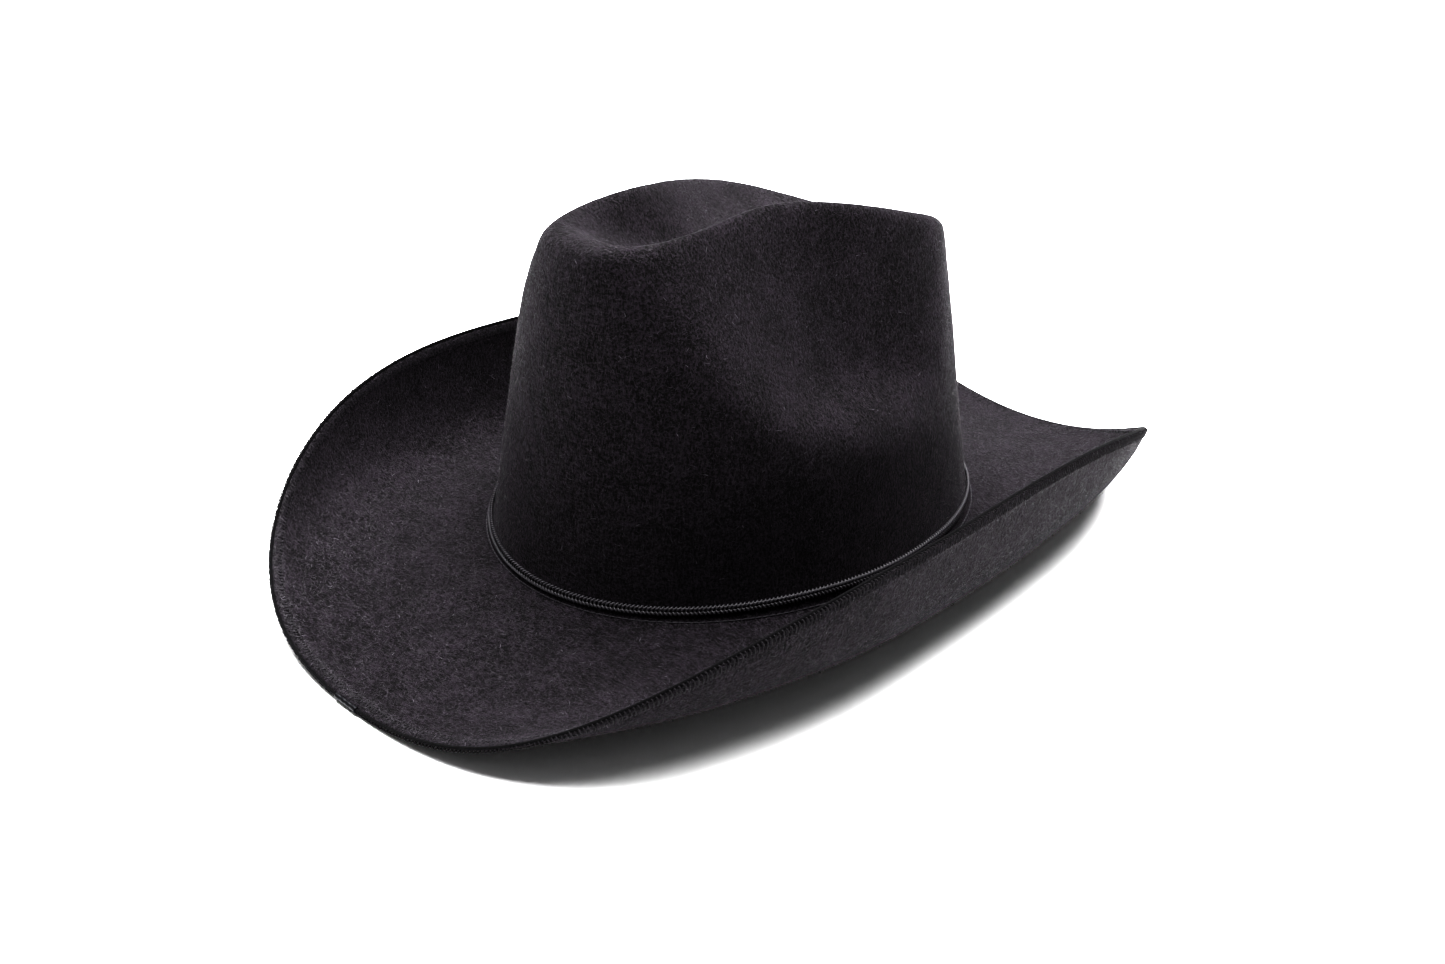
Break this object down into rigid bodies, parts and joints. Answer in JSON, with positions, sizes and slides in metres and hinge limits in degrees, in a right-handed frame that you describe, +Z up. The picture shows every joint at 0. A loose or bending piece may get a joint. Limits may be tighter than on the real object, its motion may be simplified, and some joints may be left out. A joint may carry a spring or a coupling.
{
  "type": "cowboy hat",
  "caption": "Western felt hat with a pinched, creased crown and a wired brim rolled up at the sides, worn on the head; braid band and sweatband.",
  "frame": {"origin": "middle of the hat's outline, at the level of the surface that the brim's front and back rest on", "axes": "+Z up, +Y towards the back of the hat, -Y its front, -X the wearer's right"},
  "size_m": [0.251, 0.3735, 0.1507],
  "materials": {
    "felt": "matte, napped",
    "spring_wire": "drawn",
    "ferrule_metal": "crimped",
    "thread": "satin",
    "braid": "satin",
    "sweatband_web": "matte, ribbed",
    "label_cloth": "satin"
  },
  "bodies": {
    "root": {"felt_body": "felt", "brim_wire": "spring_wire", "wire_ferrule": "ferrule_metal", "brim_edge_thread": "thread", "hat_band": "braid", "sweatband": "sweatband_web", "sweatband_thread": "thread", "size_label": "label_cloth"}
  },
  "joints": []
}
